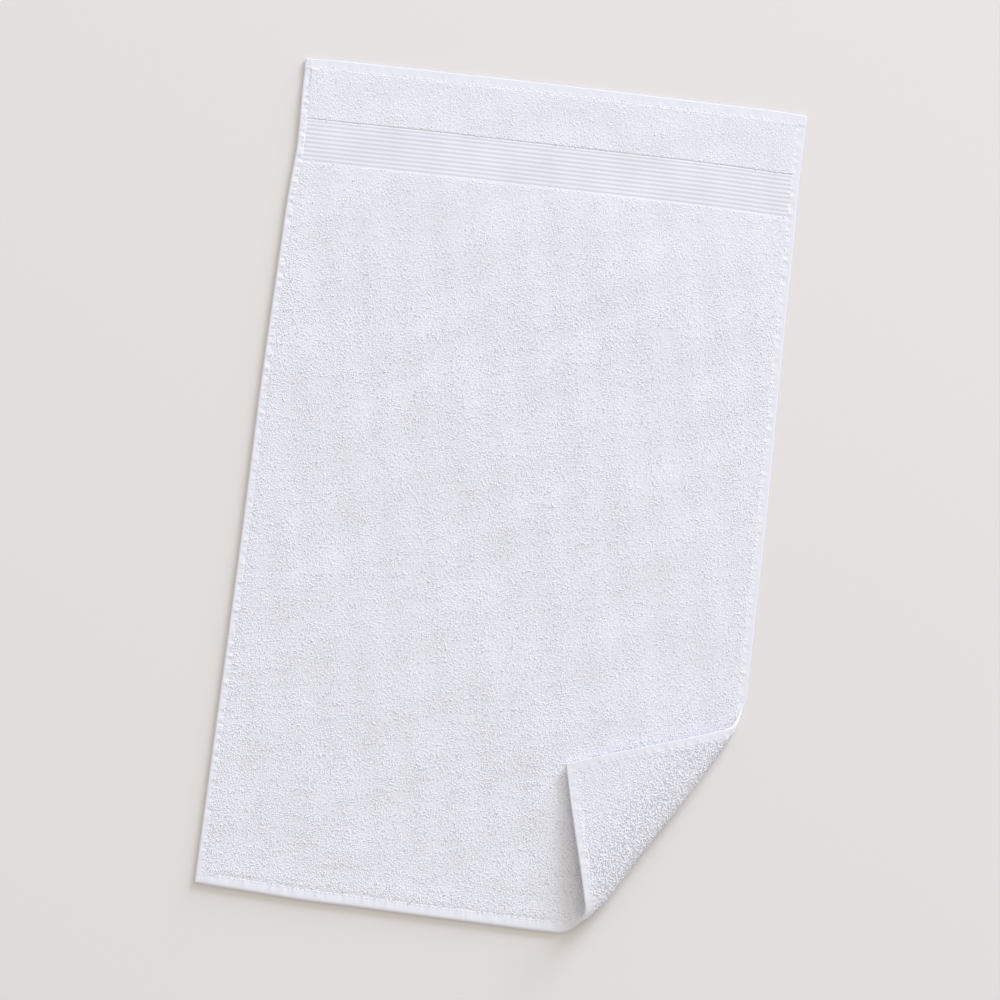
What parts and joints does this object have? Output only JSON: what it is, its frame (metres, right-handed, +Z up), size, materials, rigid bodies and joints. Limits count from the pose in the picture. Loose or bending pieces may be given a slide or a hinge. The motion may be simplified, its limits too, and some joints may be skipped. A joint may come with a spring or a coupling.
{
  "type": "bath towel",
  "caption": "White cotton terry bath towel lying flat, with a flat woven border near one end, turned hems all round and one corner folded back over the face.",
  "frame": {"origin": "centre of the towel's bounding box in plan, on the surface that the towel lies on", "axes": "+X across the width towards the edge with the folded corner, +Y up the length towards the end with the woven border, +Z up from the surface through the cloth to its face"},
  "size_m": [0.7328, 1.1738, 0.0256],
  "materials": {
    "terry_pile": "uncut cotton loops, matte white with a slightly cool cast",
    "flat_weave": "flat woven cotton of the ribbed border and the turned hems, matte white",
    "sewing_thread": "white sewing thread with a faint lustre"
  },
  "bodies": {
    "root": {"towel": "terry_pile"}
  },
  "joints": []
}
